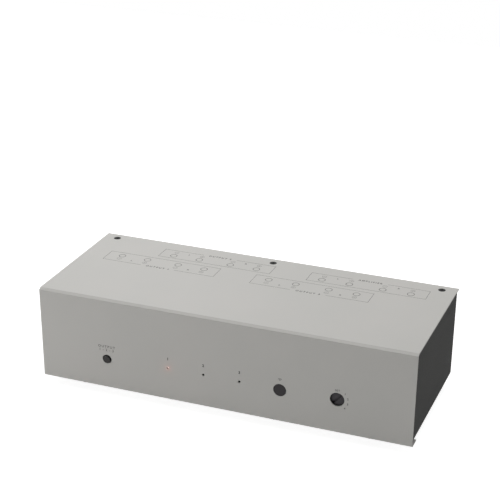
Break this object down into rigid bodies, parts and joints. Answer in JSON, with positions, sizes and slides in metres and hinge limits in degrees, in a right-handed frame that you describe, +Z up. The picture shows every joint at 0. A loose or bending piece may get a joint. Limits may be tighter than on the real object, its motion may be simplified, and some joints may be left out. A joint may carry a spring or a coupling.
{
  "type": "audio source selector",
  "caption": "Long low metal selector box for loudspeaker lines, with a push button, status lamps, a remote sensor window, a recessed code dial and screw terminals behind.",
  "frame": {"origin": "on the standing plane under the feet, under the middle of the whole outline", "axes": "+X to the right seen from the front, +Y to the back, +Z up"},
  "size_m": [0.33, 0.1528, 0.091],
  "materials": {
    "cover_paint": "satin paint, fine grain",
    "tray_paint": "dark textured paint",
    "plated_steel": "zinc plated",
    "black_screw": "black zinc",
    "foot_rubber": "matte",
    "button_plastic": "satin black",
    "black_plastic": "matte black",
    "lamp_plastic": "diffused red resin",
    "window_plastic": "dark tinted, smooth",
    "dial_plastic": "moulded, satin",
    "board_green": "solder mask",
    "relay_plastic": "moulded",
    "core_steel": "varnished laminations",
    "coil_copper": "enamelled copper wire",
    "capacitor_sleeve": "shrunk sleeve",
    "inlet_plastic": "moulded",
    "plate_plastic": "moulded",
    "post_brass": "gold plated",
    "cap_red": "moulded",
    "cap_black": "moulded",
    "wire_grey": "cable sleeve"
  },
  "bodies": {
    "case": {"cover": "cover_paint", "chassis": "tray_paint", "rear_panel": "tray_paint", "front_bracket": "plated_steel", "case_screws": "black_screw", "feet": "foot_rubber", "button_switch": "black_plastic", "status_lamps": "lamp_plastic", "remote_window": "window_plastic", "remote_receiver": "black_plastic", "dial_switch": "black_plastic", "control_board": "board_green", "board_spacers": "plated_steel", "board_screws": "plated_steel", "terminal_board": "board_green", "relays": "relay_plastic", "power_board": "board_green", "transformer_core": "core_steel", "transformer_coil": "coil_copper", "filter_capacitors": "capacitor_sleeve", "mains_inlet": "inlet_plastic", "inlet_pins": "plated_steel", "terminal_plates": "plate_plastic", "post_studs": "post_brass", "post_nuts": "post_brass", "wiring": "wire_grey"},
    "push_button": {"push_button": "button_plastic"},
    "code_dial": {"code_dial": "dial_plastic"},
    "post_sleeve_01": {"post_sleeve_01": "post_brass"},
    "post_cap_01": {"post_cap_01": "cap_black"},
    "post_sleeve_02": {"post_sleeve_02": "post_brass"},
    "post_cap_02": {"post_cap_02": "cap_red"},
    "post_sleeve_03": {"post_sleeve_03": "post_brass"},
    "post_cap_03": {"post_cap_03": "cap_black"},
    "post_sleeve_04": {"post_sleeve_04": "post_brass"},
    "post_cap_04": {"post_cap_04": "cap_red"},
    "post_sleeve_05": {"post_sleeve_05": "post_brass"},
    "post_cap_05": {"post_cap_05": "cap_black"},
    "post_sleeve_06": {"post_sleeve_06": "post_brass"},
    "post_cap_06": {"post_cap_06": "cap_red"},
    "post_sleeve_07": {"post_sleeve_07": "post_brass"},
    "post_cap_07": {"post_cap_07": "cap_black"},
    "post_sleeve_08": {"post_sleeve_08": "post_brass"},
    "post_cap_08": {"post_cap_08": "cap_red"},
    "post_sleeve_09": {"post_sleeve_09": "post_brass"},
    "post_cap_09": {"post_cap_09": "cap_black"},
    "post_sleeve_10": {"post_sleeve_10": "post_brass"},
    "post_cap_10": {"post_cap_10": "cap_red"},
    "post_sleeve_11": {"post_sleeve_11": "post_brass"},
    "post_cap_11": {"post_cap_11": "cap_black"},
    "post_sleeve_12": {"post_sleeve_12": "post_brass"},
    "post_cap_12": {"post_cap_12": "cap_red"},
    "post_sleeve_13": {"post_sleeve_13": "post_brass"},
    "post_cap_13": {"post_cap_13": "cap_black"},
    "post_sleeve_14": {"post_sleeve_14": "post_brass"},
    "post_cap_14": {"post_cap_14": "cap_red"},
    "post_sleeve_15": {"post_sleeve_15": "post_brass"},
    "post_cap_15": {"post_cap_15": "cap_black"},
    "post_sleeve_16": {"post_sleeve_16": "post_brass"},
    "post_cap_16": {"post_cap_16": "cap_red"}
  },
  "joints": [
    {"name": "button_push", "type": "slide", "parent": "case", "child": "push_button", "axis": [0, 1, 0], "range_m": [0, 0.001], "stiffness_N_per_m": 400, "springref_m": -0.001},
    {"name": "code_dial_turn", "type": "hinge", "parent": "case", "child": "code_dial", "pos_m": [0.1012, -0.07325, 0.0385], "axis": [0, 1, 0], "range_deg": [0, 90]},
    {"name": "post_sleeve_01_travel", "type": "slide", "parent": "case", "child": "post_sleeve_01", "axis": [0, 1, 0], "range_m": [0, 0.003]},
    {"name": "post_cap_01_turn", "type": "hinge", "parent": "post_sleeve_01", "child": "post_cap_01", "pos_m": [-0.0877, 0.06115, 0.062], "axis": [0, 1, 0], "range_deg": [0, 1080]},
    {"name": "post_sleeve_02_travel", "type": "slide", "parent": "case", "child": "post_sleeve_02", "axis": [0, 1, 0], "range_m": [0, 0.003]},
    {"name": "post_cap_02_turn", "type": "hinge", "parent": "post_sleeve_02", "child": "post_cap_02", "pos_m": [-0.0631, 0.06115, 0.062], "axis": [0, 1, 0], "range_deg": [0, 1080]},
    {"name": "post_sleeve_03_travel", "type": "slide", "parent": "case", "child": "post_sleeve_03", "axis": [0, 1, 0], "range_m": [0, 0.003]},
    {"name": "post_cap_03_turn", "type": "hinge", "parent": "post_sleeve_03", "child": "post_cap_03", "pos_m": [-0.0336, 0.06115, 0.062], "axis": [0, 1, 0], "range_deg": [0, 1080]},
    {"name": "post_sleeve_04_travel", "type": "slide", "parent": "case", "child": "post_sleeve_04", "axis": [0, 1, 0], "range_m": [0, 0.003]},
    {"name": "post_cap_04_turn", "type": "hinge", "parent": "post_sleeve_04", "child": "post_cap_04", "pos_m": [-0.009, 0.06115, 0.062], "axis": [0, 1, 0], "range_deg": [0, 1080]},
    {"name": "post_sleeve_05_travel", "type": "slide", "parent": "case", "child": "post_sleeve_05", "axis": [0, 1, 0], "range_m": [0, 0.003]},
    {"name": "post_cap_05_turn", "type": "hinge", "parent": "post_sleeve_05", "child": "post_cap_05", "pos_m": [0.05125, 0.06115, 0.062], "axis": [0, 1, 0], "range_deg": [0, 1080]},
    {"name": "post_sleeve_06_travel", "type": "slide", "parent": "case", "child": "post_sleeve_06", "axis": [0, 1, 0], "range_m": [0, 0.003]},
    {"name": "post_cap_06_turn", "type": "hinge", "parent": "post_sleeve_06", "child": "post_cap_06", "pos_m": [0.07585, 0.06115, 0.062], "axis": [0, 1, 0], "range_deg": [0, 1080]},
    {"name": "post_sleeve_07_travel", "type": "slide", "parent": "case", "child": "post_sleeve_07", "axis": [0, 1, 0], "range_m": [0, 0.003]},
    {"name": "post_cap_07_turn", "type": "hinge", "parent": "post_sleeve_07", "child": "post_cap_07", "pos_m": [0.10535, 0.06115, 0.062], "axis": [0, 1, 0], "range_deg": [0, 1080]},
    {"name": "post_sleeve_08_travel", "type": "slide", "parent": "case", "child": "post_sleeve_08", "axis": [0, 1, 0], "range_m": [0, 0.003]},
    {"name": "post_cap_08_turn", "type": "hinge", "parent": "post_sleeve_08", "child": "post_cap_08", "pos_m": [0.12995, 0.06115, 0.062], "axis": [0, 1, 0], "range_deg": [0, 1080]},
    {"name": "post_sleeve_09_travel", "type": "slide", "parent": "case", "child": "post_sleeve_09", "axis": [0, 1, 0], "range_m": [0, 0.003]},
    {"name": "post_cap_09_turn", "type": "hinge", "parent": "post_sleeve_09", "child": "post_cap_09", "pos_m": [-0.12995, 0.06115, 0.034], "axis": [0, 1, 0], "range_deg": [0, 1080]},
    {"name": "post_sleeve_10_travel", "type": "slide", "parent": "case", "child": "post_sleeve_10", "axis": [0, 1, 0], "range_m": [0, 0.003]},
    {"name": "post_cap_10_turn", "type": "hinge", "parent": "post_sleeve_10", "child": "post_cap_10", "pos_m": [-0.10535, 0.06115, 0.034], "axis": [0, 1, 0], "range_deg": [0, 1080]},
    {"name": "post_sleeve_11_travel", "type": "slide", "parent": "case", "child": "post_sleeve_11", "axis": [0, 1, 0], "range_m": [0, 0.003]},
    {"name": "post_cap_11_turn", "type": "hinge", "parent": "post_sleeve_11", "child": "post_cap_11", "pos_m": [-0.07585, 0.06115, 0.034], "axis": [0, 1, 0], "range_deg": [0, 1080]},
    {"name": "post_sleeve_12_travel", "type": "slide", "parent": "case", "child": "post_sleeve_12", "axis": [0, 1, 0], "range_m": [0, 0.003]},
    {"name": "post_cap_12_turn", "type": "hinge", "parent": "post_sleeve_12", "child": "post_cap_12", "pos_m": [-0.05125, 0.06115, 0.034], "axis": [0, 1, 0], "range_deg": [0, 1080]},
    {"name": "post_sleeve_13_travel", "type": "slide", "parent": "case", "child": "post_sleeve_13", "axis": [0, 1, 0], "range_m": [0, 0.003]},
    {"name": "post_cap_13_turn", "type": "hinge", "parent": "post_sleeve_13", "child": "post_cap_13", "pos_m": [0.009, 0.06115, 0.034], "axis": [0, 1, 0], "range_deg": [0, 1080]},
    {"name": "post_sleeve_14_travel", "type": "slide", "parent": "case", "child": "post_sleeve_14", "axis": [0, 1, 0], "range_m": [0, 0.003]},
    {"name": "post_cap_14_turn", "type": "hinge", "parent": "post_sleeve_14", "child": "post_cap_14", "pos_m": [0.0336, 0.06115, 0.034], "axis": [0, 1, 0], "range_deg": [0, 1080]},
    {"name": "post_sleeve_15_travel", "type": "slide", "parent": "case", "child": "post_sleeve_15", "axis": [0, 1, 0], "range_m": [0, 0.003]},
    {"name": "post_cap_15_turn", "type": "hinge", "parent": "post_sleeve_15", "child": "post_cap_15", "pos_m": [0.0631, 0.06115, 0.034], "axis": [0, 1, 0], "range_deg": [0, 1080]},
    {"name": "post_sleeve_16_travel", "type": "slide", "parent": "case", "child": "post_sleeve_16", "axis": [0, 1, 0], "range_m": [0, 0.003]},
    {"name": "post_cap_16_turn", "type": "hinge", "parent": "post_sleeve_16", "child": "post_cap_16", "pos_m": [0.0877, 0.06115, 0.034], "axis": [0, 1, 0], "range_deg": [0, 1080]}
  ],
  "couplings": [
    {"joint": "post_cap_01_turn", "follows": "post_sleeve_01_travel", "rad_per_m": 6283.2},
    {"joint": "post_cap_02_turn", "follows": "post_sleeve_02_travel", "rad_per_m": 6283.2},
    {"joint": "post_cap_03_turn", "follows": "post_sleeve_03_travel", "rad_per_m": 6283.2},
    {"joint": "post_cap_04_turn", "follows": "post_sleeve_04_travel", "rad_per_m": 6283.2},
    {"joint": "post_cap_05_turn", "follows": "post_sleeve_05_travel", "rad_per_m": 6283.2},
    {"joint": "post_cap_06_turn", "follows": "post_sleeve_06_travel", "rad_per_m": 6283.2},
    {"joint": "post_cap_07_turn", "follows": "post_sleeve_07_travel", "rad_per_m": 6283.2},
    {"joint": "post_cap_08_turn", "follows": "post_sleeve_08_travel", "rad_per_m": 6283.2},
    {"joint": "post_cap_09_turn", "follows": "post_sleeve_09_travel", "rad_per_m": 6283.2},
    {"joint": "post_cap_10_turn", "follows": "post_sleeve_10_travel", "rad_per_m": 6283.2},
    {"joint": "post_cap_11_turn", "follows": "post_sleeve_11_travel", "rad_per_m": 6283.2},
    {"joint": "post_cap_12_turn", "follows": "post_sleeve_12_travel", "rad_per_m": 6283.2},
    {"joint": "post_cap_13_turn", "follows": "post_sleeve_13_travel", "rad_per_m": 6283.2},
    {"joint": "post_cap_14_turn", "follows": "post_sleeve_14_travel", "rad_per_m": 6283.2},
    {"joint": "post_cap_15_turn", "follows": "post_sleeve_15_travel", "rad_per_m": 6283.2},
    {"joint": "post_cap_16_turn", "follows": "post_sleeve_16_travel", "rad_per_m": 6283.2}
  ]
}
